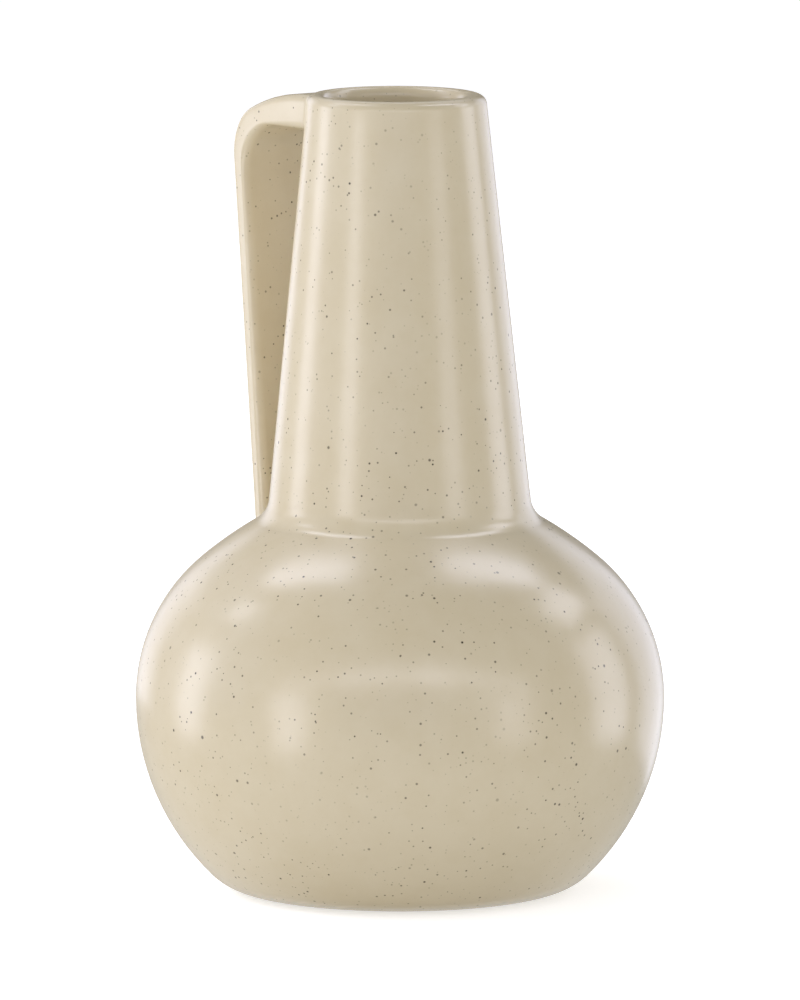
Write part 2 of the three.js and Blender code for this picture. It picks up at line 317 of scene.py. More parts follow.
class VaseStudio(bpy.types.PropertyGroup):
    """Camera and light of the studio that a user would change."""

    azimuth: bpy.props.FloatProperty(
        name="Azimuth", description="Turn of the camera round the vase",
        default=math.radians(54), unit="ROTATION", subtype="ANGLE")
    elevation: bpy.props.FloatProperty(
        name="Elevation", description="Height of the camera as an angle",
        default=math.radians(7.65), unit="ROTATION", subtype="ANGLE")
    distance: bpy.props.FloatProperty(
        name="Distance", description="Camera to the point it looks at",
        default=4.0, unit="LENGTH", subtype="DISTANCE")
    look_height: bpy.props.FloatProperty(
        name="Look height", description="Height of the point the camera looks at",
        default=118.9 * MM, unit="LENGTH", subtype="DISTANCE")
    ambient: bpy.props.FloatProperty(
        name="Room light", description="Strength of the even light from the room",
        default=0.70, min=0)
    softboxes: bpy.props.FloatProperty(
        name="Lamps", description="Strength of all softboxes and wide lamps together",
        default=1.0, min=0)


def point(radius, height):
    """A place in the plane of a profile."""
    return Vector((radius, height))


def angle_from(centre, target):
    """Direction from one point of a profile to another."""
    return math.atan2(target.y - centre.y, target.x - centre.x)


def arc(centre, radius, start, end, steps=None):
    """Points of an arc from one angle to another, both ends included."""
    steps = steps or max(2, math.ceil(abs(end - start) / ARC_STEP))
    angles = [start + (end - start) * step / steps for step in range(steps + 1)]
    return [centre + radius * point(math.cos(angle), math.sin(angle)) for angle in angles]


def run(start, end, steps):
    """Points of a straight run in even steps, both ends included."""
    return [start.lerp(end, step / steps) for step in range(steps + 1)]


def corner_circle(before, corner, after, radius):
    """Centre of the circle that rounds a corner, with its first angle and its turn."""
    back = (before - corner).normalized()
    ahead = (after - corner).normalized()
    half = math.acos(back.dot(ahead)) / 2
    centre = corner + (back + ahead).normalized() * radius / math.sin(half)
    setback = radius / math.tan(half)
    start = angle_from(centre, corner + back * setback)
    turn = angle_from(centre, corner + ahead * setback) - start
    return centre, start, math.atan2(math.sin(turn), math.cos(turn))


def rounded(before, corner, after, radius, steps=None):
    """Points that round a corner between two straight runs."""
    centre, start, turn = corner_circle(before, corner, after, radius)
    return arc(centre, radius, start, start + turn, steps)


def reach_on_line(start, direction, centre, distance):
    """The later of the two places where a line is a given distance from a centre."""
    offset = start - centre
    half = offset.dot(direction)
    return start + direction * (-half + math.sqrt(half ** 2 - offset.length_squared + distance ** 2))


def vase_lines(sizes):
    """Works out the lines that the turned pieces share."""
    lines = SimpleNamespace(sizes=sizes)
    lines.lower_centre = point(sizes.belly_radius - sizes.lower_arc, sizes.belly_widest)
    lines.upper_centre = point(sizes.belly_radius - sizes.upper_arc, sizes.belly_widest)
    lines.shoulder_out = point(math.cos(sizes.shoulder_turn), math.sin(sizes.shoulder_turn))
    lines.shoulder_up = point(-lines.shoulder_out.y, lines.shoulder_out.x)
    lines.shoulder_start = lines.upper_centre + lines.shoulder_out * sizes.upper_arc
    climb = (lines.shoulder_start.x - sizes.neck_foot_radius) / lines.shoulder_out.y
    lines.seat = lines.shoulder_start + lines.shoulder_up * climb
    lines.seat_inner = point(sizes.neck_foot_radius - sizes.neck_wall, lines.seat.y)
    lines.rim = point(sizes.neck_top_radius, sizes.height)
    lines.mouth = point(sizes.neck_top_radius - sizes.neck_wall, sizes.height)
    lines.neck_up = (lines.rim - lines.seat).normalized()
    lines.neck_out = point(lines.neck_up.y, -lines.neck_up.x)
    lines.rim_centre = corner_circle(lines.seat, lines.rim, lines.mouth, sizes.rim_outer)[0]

    # The shoulder bulges a little on its way to the seat, on a wide arc that runs on from the upper curve
    lines.ease_turn = sizes.shoulder_turn - sizes.shoulder_ease
    ease_out = point(math.cos(lines.ease_turn), math.sin(lines.ease_turn))
    ease_start = lines.upper_centre + ease_out * sizes.upper_arc
    chord = ease_start - lines.seat
    lines.wide_arc = chord.length_squared / (2 * ease_out.dot(chord))
    lines.wide_centre = ease_start - ease_out * lines.wide_arc
    lines.seat_turn = angle_from(lines.wide_centre, lines.seat)
    return lines


def neck_gap(lines, radius, height):
    """How far a place stands out from the neck and its rounded rim."""
    offset = point(radius, height) - lines.rim_centre
    if offset.dot(lines.neck_up) > 0:
        return offset.length - lines.sizes.rim_outer
    return (point(radius, height) - lines.seat).dot(lines.neck_out)


def shoulder_gap(lines, radius, height):
    """How far a place stands out from the belly above its widest height."""
    offset = point(radius, height) - lines.upper_centre
    if math.atan2(offset.y, offset.x) < lines.ease_turn:
        return offset.length - lines.sizes.upper_arc
    return (point(radius, height) - lines.wide_centre).length - lines.wide_arc


def settle(gap_at, near, far, wanted):
    """Finds by halving the travel at which a gap that grows with it is as wanted."""
    for _ in range(HALVINGS):
        middle = (near + far) / 2
        if gap_at(middle) < wanted:
            near = middle
        else:
            far = middle
    return (near + far) / 2


def deselect():
    """Leaves object mode with nothing selected."""
    if bpy.context.object and bpy.context.object.mode != "OBJECT":
        bpy.ops.object.mode_set(mode="OBJECT")
    bpy.ops.object.select_all(action="DESELECT")


def close_up(piece):
    """Welds a shaped mesh, points its faces outwards and smooths it."""
    bpy.ops.mesh.select_all(action="SELECT")
    bpy.ops.mesh.remove_doubles(threshold=WELD)
    bpy.ops.mesh.select_all(action="SELECT")
    bpy.ops.mesh.normals_make_consistent(inside=False)
    bpy.ops.object.mode_set(mode="OBJECT")
    bpy.ops.object.shade_smooth_by_angle(angle=SMOOTH_ANGLE)
    return piece


def turned(name, profile):
    """Draws a profile by extruding a point along it, then spins it round the vase's axis."""
    deselect()
    bpy.ops.mesh.primitive_plane_add(size=SEED_SIZE, location=(profile[0].x, 0, profile[0].y))
    piece = bpy.context.object
    piece.name = name
    piece.data.name = name
    bpy.ops.object.transform_apply(location=True, rotation=True, scale=True)
    bpy.ops.object.mode_set(mode="EDIT")
    bpy.ops.mesh.select_all(action="SELECT")
    bpy.ops.mesh.merge(type="CENTER")
    for before, after in zip(profile, profile[1:]):
        move = after - before
        bpy.ops.mesh.extrude_vertices_move(TRANSFORM_OT_translate={"value": (move.x, 0, move.y)})
    bpy.ops.mesh.select_all(action="SELECT")
    bpy.ops.mesh.spin(steps=TURN_STEPS, angle=math.tau, center=(0, 0, 0), axis=(0, 0, 1))
    return close_up(piece)


def lay_loop(piece, loop, order):
    """Lays the selected loop of vertices in its place and says which vertex is which."""
    mesh = bmesh.from_edit_mesh(piece.data)
    mesh.verts.ensure_lookup_table()
    placed = {}
    for vert in [vert for vert in mesh.verts if vert.select]:
        behind = [edge.other_vert(vert).index for edge in vert.link_edges]
        place = next((order[index] for index in behind if index in order), vert.index)
        placed[vert.index] = place
        vert.co = loop[place]
    bmesh.update_edit_mesh(piece.data)
    return placed


def select_loops(piece, *loops):
    """Selects the vertices of some loops, and the edges between them, and nothing else."""
    mesh = bmesh.from_edit_mesh(piece.data)
    mesh.select_mode = {"VERT"}
    chosen = set().union(*loops)
    for face in mesh.faces:
        face.select = False
    for edge in mesh.edges:
        edge.select = False
    for vert in mesh.verts:
        vert.select = vert.index in chosen
    mesh.select_flush(True)
    bmesh.update_edit_mesh(piece.data)


def skinned(name, loops, ring):
    """Extrudes a circle through a row of loops, and joins the ends as a ring or caps each one."""
    deselect()
    bpy.ops.mesh.primitive_circle_add(vertices=len(loops[0]), radius=SEED_SIZE, fill_type="NOTHING")
    piece = bpy.context.object
    piece.name = name
    piece.data.name = name
    bpy.ops.object.mode_set(mode="EDIT")
    bpy.ops.mesh.select_mode(type="VERT")
    bpy.ops.mesh.select_all(action="SELECT")
    first = lay_loop(piece, loops[0], {})
    order = first
    for loop in loops[1:]:
        bpy.ops.mesh.extrude_region_move()
        order = lay_loop(piece, loop, order)
    if ring:
        select_loops(piece, first, order)
        bpy.ops.mesh.bridge_edge_loops()
    else:
        for end in (first, order):
            select_loops(piece, end)
            bpy.ops.mesh.edge_face_add()
    return close_up(piece)


def finish_piece(piece, material, node):
    """Gives a piece its material, hangs it on the body and hides the CAD node that it stands for."""
    piece.data.materials.clear()
    piece.data.materials.append(material)
    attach(piece, BODY)
    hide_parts(node)


def section(half_across, half_along, edge):
    """Rounded rectangle as places with their outward normals, the long sides in short steps."""
    across = half_across - edge
    along = half_along - edge
    spots = []
    for quarter, (x, y) in enumerate(((1, 1), (-1, 1), (-1, -1), (1, -1))):
        middle = point(x * across, y * along)
        for step in range(EDGE_STEPS + 1):
            angle = (quarter + step / EDGE_STEPS) * QUARTER
            normal = point(math.cos(angle), math.sin(angle))
            spots.append((middle + normal * edge, normal))
        if quarter % 2 == 0:
            ends = [point(x * across, y * half_along), point(-x * across, y * half_along)]
            spots += [(place, point(0, y)) for place in run(*ends, LONG_SIDE_STEPS)[1:-1]]
        else:
            ends = [point(x * half_across, y * along), point(x * half_across, -y * along)]
            spots += [(place, point(x, 0)) for place in run(*ends, SHORT_SIDE_STEPS)[1:-1]]
    return spots


def handle_lines(lines):
    """Works out the outer and inner lines of the handle, side by side, as (reach, height)."""
    sizes = lines.sizes
    hand = SimpleNamespace()
    hand.down = point(-math.sin(sizes.strap_lean), -math.cos(sizes.strap_lean))
    hand.out = point(math.cos(sizes.strap_lean), -math.sin(sizes.strap_lean))
    hand.outer_top = point(sizes.handle_reach, sizes.height)
    hand.inner_top = hand.outer_top - hand.out * sizes.strap_thickness
    hand.arm_top = sizes.height - sizes.arm_drop
    hand.underside = hand.arm_top - sizes.arm_depth
    hand.arm_middle = (hand.arm_top + hand.underside) / 2
    crown_centre = point(sizes.neck_top_radius, hand.arm_top - sizes.crown)
    bend_start = hand.outer_top - hand.out * sizes.outer_bend + hand.down * sizes.height
    bend_centre = reach_on_line(bend_start, -hand.down, crown_centre, sizes.crown - sizes.outer_bend)
    crown_end = angle_from(crown_centre, bend_centre)
    bend_end = math.atan2(hand.out.y, hand.out.x)
    crown = arc(crown_centre, sizes.crown, QUARTER, crown_end, CROWN_STEPS)
    bend = arc(bend_centre, sizes.outer_bend, crown_end, bend_end, BEND_STEPS)
    root = point(sizes.neck_top_radius, hand.underside)
    below = (root.y - hand.inner_top.y) / hand.down.y
    inner_corner = hand.inner_top + hand.down * below
    inner_foot = hand.inner_top + hand.down * sizes.height
    inner_bend = rounded(root, inner_corner, inner_foot, sizes.inner_bend, BEND_STEPS)
    hand.outer = crown + bend[1:]
    hand.inner = run(root, inner_bend[0], CROWN_STEPS) + inner_bend[1:]
    return hand


def loops_between(first, last, steps):
    """Loops on the straight way from one loop to another, without the two."""
    return [[start.lerp(end, step / steps) for start, end in zip(first, last)] for step in range(1, steps)]


def settle_on_neck(lines, across, height, gap):
    """Reach at which a place beside the handle's root stands off the neck by a gap."""
    nearest = math.sqrt(lines.rim_centre.x ** 2 - across ** 2)
    return settle(lambda reach: neck_gap(lines, math.hypot(reach, across), height),
                  nearest, lines.sizes.handle_reach, gap)


def settle_on_shoulder(lines, hand, across, offset, gap):
    """Place on the strap's own line, offset from its middle, that stands off the belly by a gap."""
    middle = hand.inner_top.lerp(hand.outer_top, 0.5) + hand.out * offset
    rise = settle(lambda travel: shoulder_gap(lines, math.hypot((middle - hand.down * travel).x, across),
                                              (middle - hand.down * travel).y),
                  -lines.sizes.height + lines.sizes.belly_widest, 0, gap)
    return middle - hand.down * rise


def lean(piece, lines):
    """Leans a piece at the neck towards the handle, and the mouth a little further than the rim."""
    sizes = lines.sizes
    bpy.ops.object.mode_set(mode="EDIT")
    mesh = bmesh.from_edit_mesh(piece.data)
    for vert in mesh.verts:
        rise = max((vert.co.z - lines.seat.y) / (sizes.height - lines.seat.y), 0)
        outside = lines.seat.lerp(lines.rim, rise).x
        depth = (outside - math.hypot(vert.co.x, vert.co.y)) / sizes.neck_wall
        vert.co.x -= (sizes.neck_lean + sizes.mouth_lean * min(max(depth, 0), 1)) * rise
    bmesh.update_edit_mesh(piece.data)
    bpy.ops.object.mode_set(mode="OBJECT")


class VASE_OT_belly(bpy.types.Operator):
    """Turn the belly with its base, shoulder and inside"""

    bl_idname = "vase.belly"
    bl_label = "Belly"

    def execute(self, context):
        sizes = context.scene.vase_sizes
        lines = vase_lines(sizes)
        base_line = point(lines.lower_centre.x, sizes.foot_height + sizes.base_edge)
        edge_centre = reach_on_line(
            base_line, point(1, 0), lines.lower_centre, sizes.lower_arc - sizes.base_edge)
        edge_end = angle_from(lines.lower_centre, edge_centre)
        floor = sizes.foot_height + sizes.base_thickness
        inner_lower = sizes.lower_arc - sizes.wall
        inner_upper = sizes.upper_arc - sizes.wall
        inner_start = lines.upper_centre + lines.shoulder_out * inner_upper
        climb = (inner_start.x - lines.seat_inner.x) / lines.shoulder_out.y
        floor_angle = math.asin((floor - lines.lower_centre.y) / inner_lower)
        floor_end = lines.lower_centre + inner_lower * point(math.cos(floor_angle), math.sin(floor_angle))
        profile = run(point(0, sizes.foot_height), point(edge_centre.x, sizes.foot_height), BASE_STEPS)
        profile += arc(edge_centre, sizes.base_edge, -QUARTER, edge_end)[1:]
        profile += arc(lines.lower_centre, sizes.lower_arc, edge_end, 0)[1:]
        profile += arc(lines.upper_centre, sizes.upper_arc, 0, lines.ease_turn)[1:]
        profile += arc(
            lines.wide_centre, lines.wide_arc, lines.ease_turn, lines.seat_turn, SHOULDER_STEPS)[1:]
        profile += [lines.seat_inner, inner_start + lines.shoulder_up * climb]
        profile += arc(lines.upper_centre, inner_upper, sizes.shoulder_turn, 0)
        profile += arc(lines.lower_centre, inner_lower, 0, floor_angle)[1:]
        profile += run(floor_end, point(0, floor), FLOOR_STEPS)[1:]
        piece = turned("belly_glazed", profile)
        finish_piece(piece, speckled_glaze(context.scene.vase_finish), "belly")
        return {"FINISHED"}


class VASE_OT_foot_ring(bpy.types.Operator):
    """Turn the bare foot ring under the base"""

    bl_idname = "vase.foot_ring"
    bl_label = "Foot ring"

    def execute(self, context):
        sizes = context.scene.vase_sizes
        outer = sizes.foot_radius
        inner = outer - sizes.foot_width
        edge = sizes.foot_height / 2
        top = sizes.foot_height
        profile = [point(inner, top), point(inner, edge)]
        profile += arc(point(inner + edge, edge), edge, math.pi, 3 * QUARTER, FOOT_EDGE_STEPS)[1:]
        profile += arc(point(outer - edge, edge), edge, -QUARTER, 0, FOOT_EDGE_STEPS)
        profile += [point(outer, top), point(inner, top)]
        piece = turned("foot_ring_bare", profile)
        finish_piece(piece, bare_stoneware(context.scene.vase_finish), "foot_ring")
        return {"FINISHED"}


class VASE_OT_neck(bpy.types.Operator):
    """Turn the tapering neck with its rounded rim"""

    bl_idname = "vase.neck"
    bl_label = "Neck"

    def execute(self, context):
        sizes = context.scene.vase_sizes
        lines = vase_lines(sizes)
        rim = rounded(lines.seat, lines.rim, lines.mouth, sizes.rim_outer, RIM_STEPS)
        lip = rounded(lines.rim, lines.mouth, lines.seat_inner, sizes.rim_inner, LIP_STEPS)
        profile = [lines.seat_inner] + run(lines.seat, rim[0], NECK_STEPS) + rim[1:]
        profile += lip + run(lip[-1], lines.seat_inner, BORE_STEPS)[1:]
        piece = turned("neck_glazed", profile)
        lean(piece, lines)
        finish_piece(piece, speckled_glaze(context.scene.vase_finish), "neck")
        return {"FINISHED"}


class VASE_OT_neck_coil(bpy.types.Operator):
    """Turn the coil that runs the neck into the shoulder"""

    bl_idname = "vase.neck_coil"
    bl_label = "Neck coil"

    def execute(self, context):
        sizes = context.scene.vase_sizes
        lines = vase_lines(sizes)
        fillet = sizes.neck_fillet
        beside = lines.seat + lines.neck_out * fillet
        centre = reach_on_line(beside, lines.neck_up, lines.wide_centre, lines.wide_arc + fillet)
        start = angle_from(centre, lines.wide_centre)
        turn = angle_from(centre, centre - lines.neck_out) - start
        turn = math.atan2(math.sin(turn), math.cos(turn))
        face = arc(centre, fillet + COIL_SINK, start, start + turn, COIL_STEPS)
        toe_turn = angle_from(lines.wide_centre, centre) - COIL_OVERLAP / lines.wide_arc
        toe_out = point(math.cos(toe_turn), math.sin(toe_turn))
        toe = lines.wide_centre + (lines.wide_arc - COIL_TUCK) * toe_out
        top = face[-1] + lines.neck_up * COIL_OVERLAP - lines.neck_out * COIL_TUCK
        deep = lines.seat - (lines.neck_out + lines.shoulder_out).normalized() * sizes.wall * COIL_ROOT
        profile = [deep, toe] + face + [top, deep]
        piece = turned("neck_coil_glazed", profile)
        finish_piece(piece, speckled_glaze(context.scene.vase_finish), "neck_coil")
        return {"FINISHED"}


class VASE_OT_strap_handle(bpy.types.Operator):
    """Draw out the strap handle from the rim down to the shoulder"""

    bl_idname = "vase.strap_handle"
    bl_label = "Strap handle"

    def execute(self, context):
        sizes = context.scene.vase_sizes
        lines = vase_lines(sizes)
        hand = handle_lines(lines)
        half = sizes.handle_width / 2

        def bend_loop(outer, inner):
            """The strap's section between two places of its outer and inner lines."""
            middle = outer.lerp(inner, 0.5)
            out = (outer - inner).normalized()
            spots = section(half, (outer - inner).length / 2, sizes.handle_edge)
            flat = [(spot.x, middle + out * spot.y) for spot, _ in spots]
            return [Vector((-place.x, -across, place.y)) for across, place in flat]

        path = [bend_loop(outer, inner) for outer, inner in zip(hand.outer, hand.inner)]
        buried = sizes.wall * BURIED_SHARE

        def root_loop(share):
            """The arm's section, or a share of it, laid inside the neck's wall."""
            loop = []
            for spot, _ in section(half, sizes.arm_depth / 2, sizes.handle_edge):
                across = spot.x * share
                height = hand.arm_middle + spot.y * share
                reach = settle_on_neck(lines, across, height, -buried)
                loop.append(Vector((-reach, -across, height)))
            return loop

        def foot_loop(share):
            """The strap's section, or a share of it, laid inside the shoulder's wall."""
            loop = []
            for spot, _ in section(half, sizes.strap_thickness / 2, sizes.handle_edge):
                across = spot.x * share
                place = settle_on_shoulder(lines, hand, across, spot.y * share, -buried)
                loop.append(Vector((-place.x, -across, place.y)))
            return loop

        # Each end closes along the wall that it is buried in, and not straight across
        root = [root_loop(share) for share in END_SHARES]
        foot = [foot_loop(share) for share in END_SHARES]
        arm = loops_between(root[-1], path[0], ARM_STEPS)
        strap = loops_between(path[-1], foot[-1], STRAP_STEPS)
        loops = root + arm + path + strap + foot[::-1]
        piece = skinned("strap_handle_glazed", loops, ring=False)
        finish_piece(piece, speckled_glaze(context.scene.vase_finish), "strap_handle")
        return {"FINISHED"}


class VASE_OT_handle_slips(bpy.types.Operator):
    """Run the slip round both ends of the handle"""

    bl_idname = "vase.handle_slips"
    bl_label = "Handle slips"

    def execute(self, context):
        sizes = context.scene.vase_sizes
        lines = vase_lines(sizes)
        hand = handle_lines(lines)
        half = sizes.handle_width / 2
        fillet = sizes.slip_fillet
        angles = [QUARTER * step / SLIP_STEPS for step in range(SLIP_STEPS + 1)]

        def root_loop(above, out, reserve):
            """A line of the slip round the arm, by its gap from the neck and its way out."""
            loop = []
            for spot, normal in section(half, sizes.arm_depth / 2, sizes.handle_edge):
                room = fillet
                overlap = reserve
                if normal.y > 0:
                    ceiling = sizes.arm_drop * RIM_SHARE + sizes.handle_edge * (1 - normal.y)
                    room = min(fillet, ceiling / normal.y)
                    overlap = min(reserve, sizes.arm_drop * RIM_OVERLAP / normal.y)
                place = spot + normal * (room * out + overlap)
                height = hand.arm_middle + place.y
                reach = settle_on_neck(lines, place.x, height, above)
                loop.append(Vector((-reach, -place.x, height)))
            return loop

        def foot_loop(above, out, reserve):
            """A line of the slip round the strap, by its gap from the shoulder and its way out."""
            loop = []
            for spot, normal in section(half, sizes.strap_thickness / 2, sizes.handle_edge):
                place = spot + normal * (fillet * out + reserve)
                on_strap = settle_on_shoulder(lines, hand, place.x, place.y, above)
                loop.append(Vector((-on_strap.x, -place.x, on_strap.y)))
            return loop

        for name, node, loop_at in (
                ("handle_root_slip_glazed", "handle_root_slip", root_loop),
                ("handle_foot_slip_glazed", "handle_foot_slip", foot_loop)):
            loops = [loop_at(-SLIP_SINK, 1, SLIP_OVERLAP)]
            loops += [loop_at(fillet * (1 - math.cos(angle)), 1 - math.sin(angle), 0) for angle in angles]
            loops += [loop_at(fillet + SLIP_OVERLAP, 0, -SLIP_SINK)]
            loops += [loop_at(-SLIP_DEPTH, 0, -SLIP_DEPTH)]
            piece = skinned(name, loops, ring=True)
            lean(piece, lines)
            finish_piece(piece, speckled_glaze(context.scene.vase_finish), node)
        return {"FINISHED"}


def add_node(tree, kind, links=(), **settings):
    """Adds a node, sets its properties and sockets, and links other sockets into it."""
    node = tree.nodes.new(kind)
    for name, value in settings.items():
        if hasattr(node, name):
            setattr(node, name, value)
        else:
            node.inputs[name.replace("_", " ")].default_value = value
    for socket, source in links:
        tree.links.new(source, node.inputs[socket])
    return node


def new_material(name):
    """Makes a node material with an empty tree."""
    material = bpy.data.materials.new(name)
    material.use_nodes = True
    material.node_tree.nodes.clear()
    return material, material.node_tree


def speckled_glaze(finish):
    """Satin cream glaze over speckled stoneware, shared by all the glazed pieces."""
    name = "speckled_stoneware_glaze"
    if name in bpy.data.materials:
        return bpy.data.materials[name]
    material, tree = new_material(name)
    place = add_node(tree, "ShaderNodeTexCoord").outputs["Object"]

    # Glaze that ran a little thicker here and thinner there, in wide pools and in small flecks
    pools = add_node(
        tree, "ShaderNodeTexNoise", [("Vector", place)], Scale=1 / POOL_SIZE, Detail=2.0, Roughness=0.5)
    flecks = add_node(
        tree, "ShaderNodeTexNoise", [("Vector", place)], Scale=1 / FLECK_SIZE, Detail=3.0, Roughness=0.6)
    depth = add_node(
        tree, "ShaderNodeMath", [(0, pools.outputs["Fac"]), (1, flecks.outputs["Fac"])], operation="ADD")
    thick = add_node(
        tree, "ShaderNodeMapRange", [("Value", depth.outputs[0])],
        From_Min=THICK_SPAN[0], From_Max=THICK_SPAN[1])
    glaze = add_node(tree, "ShaderNodeMix", [(0, thick.outputs[0])], data_type="RGBA")
    glaze.inputs[MIX_FIRST].default_value = (*finish.glaze_deep, 1)
    glaze.inputs[MIX_SECOND].default_value = (*finish.glaze_light, 1)

    # Iron specks that bled through, many small ones and a few large ones, fainter in some places
    crowd = add_node(tree, "ShaderNodeTexNoise", [("Vector", place)], Scale=1 / CROWD_SIZE, Detail=1.0)
    crowding = add_node(
        tree, "ShaderNodeMapRange", [("Value", crowd.outputs["Fac"])],
        From_Min=CROWD_SPAN[0], From_Max=CROWD_SPAN[1], To_Min=CROWD_LEAST)
    colour = glaze.outputs[MIX_RESULT]

    # One layer for each size of speck: every cell holds one, and chance gives its size and its darkness
    for cell, radius in SPECK_LAYERS:
        spots = add_node(tree, "ShaderNodeTexVoronoi", [("Vector", place)], Scale=1 / cell)
        chance = add_node(tree, "ShaderNodeSeparateColor", [("Color", spots.outputs["Color"])])
        growth = add_node(
            tree, "ShaderNodeMath", [(0, chance.outputs[0]), (1, chance.outputs[1])], operation="MULTIPLY")
        size = add_node(
            tree, "ShaderNodeMapRange", [("Value", growth.outputs[0])],
            To_Min=SPECK_LEAST * radius / cell, To_Max=radius / cell)
        core = add_node(tree, "ShaderNodeMath", [(0, size.outputs[0])], operation="MULTIPLY")
        core.inputs[1].default_value = SPECK_CORE
        reach = [
            ("Value", spots.outputs["Distance"]),
            ("From Min", size.outputs[0]),
            ("From Max", core.outputs[0]),
        ]
        mask = add_node(tree, "ShaderNodeMapRange", reach, interpolation_type="SMOOTHSTEP")
        shown = add_node(
            tree, "ShaderNodeMath", [(0, mask.outputs[0]), (1, chance.outputs[1])], operation="MULTIPLY")
        factor = add_node(
            tree, "ShaderNodeMath", [(0, shown.outputs[0]), (1, crowding.outputs[0])], operation="MULTIPLY")
        speckled = add_node(
            tree, "ShaderNodeMix", [(0, factor.outputs[0]), (MIX_FIRST, colour)], data_type="RGBA")
        speckled.inputs[MIX_SECOND].default_value = (*finish.speck, 1)
        colour = speckled.outputs[MIX_RESULT]

    # Hardly uneven surface, so that the reflections waver a little
    ripple = add_node(tree, "ShaderNodeTexNoise", [("Vector", place)], Scale=1 / RIPPLE_SIZE, Detail=1.0)
    bump = add_node(
        tree, "ShaderNodeBump", [("Height", ripple.outputs["Fac"])], Strength=1.0, Distance=RIPPLE_HEIGHT)
    shader = add_node(
        tree, "ShaderNodeBsdfPrincipled", [("Base Color", colour), ("Normal", bump.outputs[0])],
        Roughness=finish.gloss, IOR=CERAMIC_IOR)
    add_node(tree, "ShaderNodeOutputMaterial", [("Surface", shader.outputs[0])])
    return material


def bare_stoneware(finish):
    """Wiped, unglazed stoneware of the foot: matt buff with darker grit."""
    material, tree = new_material("bare_fired_stoneware")
    place = add_node(tree, "ShaderNodeTexCoord").outputs["Object"]
    grit = add_node(
        tree, "ShaderNodeTexNoise", [("Vector", place)], Scale=1 / GRIT_SIZE, Detail=4.0, Roughness=0.7)
    spread = add_node(
        tree, "ShaderNodeMapRange", [("Value", grit.outputs["Fac"])],
        From_Min=GRIT_SPAN[0], From_Max=GRIT_SPAN[1])
    mixed = add_node(tree, "ShaderNodeMix", [(0, spread.outputs[0])], data_type="RGBA")
    mixed.inputs[MIX_FIRST].default_value = (*finish.clay, 1)
    mixed.inputs[MIX_SECOND].default_value = (*finish.clay_grit, 1)
    colour = mixed.outputs[MIX_RESULT]
    bump = add_node(
        tree, "ShaderNodeBump", [("Height", grit.outputs["Fac"])],
        Strength=GRIT_STRENGTH, Distance=GRIT_HEIGHT)
    shader = add_node(
        tree, "ShaderNodeBsdfPrincipled", [("Base Color", colour), ("Normal", bump.outputs[0])],
        Roughness=CLAY_ROUGHNESS, IOR=CERAMIC_IOR)
    add_node(tree, "ShaderNodeOutputMaterial", [("Surface", shader.outputs[0])])
    return material


def towards(azimuth, elevation):
    """Direction from the vase, by turn and height."""
    flat = math.cos(elevation)
    return Vector((math.sin(azimuth) * flat, -math.cos(azimuth) * flat, math.sin(elevation)))


def pale_floor():
    """Matt white studio floor that the camera sees as white, apart from the shadow on it."""
    material, tree = new_material("matt_white_floor")
    ray = add_node(tree, "ShaderNodeLightPath")
    lit = add_node(tree, "ShaderNodeBsdfDiffuse", Color=FLOOR_GREY)
    level = add_node(
        tree, "ShaderNodeMapRange", [("Value", ray.outputs["Is Camera Ray"])],
        To_Min=FLOOR_GLOW, To_Max=FLOOR_GLOW_SEEN)
    glow = add_node(tree, "ShaderNodeEmission", [("Strength", level.outputs[0])], Color=WHITE)
    both = add_node(tree, "ShaderNodeAddShader", [(0, lit.outputs[0]), (1, glow.outputs[0])])
    add_node(tree, "ShaderNodeOutputMaterial", [("Surface", both.outputs[0])])
    return material


def lay_floor():
    """Lays the floor, which lights the vase and is not mirrored in it."""
    deselect()
    bpy.ops.mesh.primitive_grid_add(x_subdivisions=4, y_subdivisions=4, size=FLOOR_SIZE)
    floor = bpy.context.object
    floor.name = "studio_floor"
    floor.data.materials.append(pale_floor())
    floor.visible_glossy = False


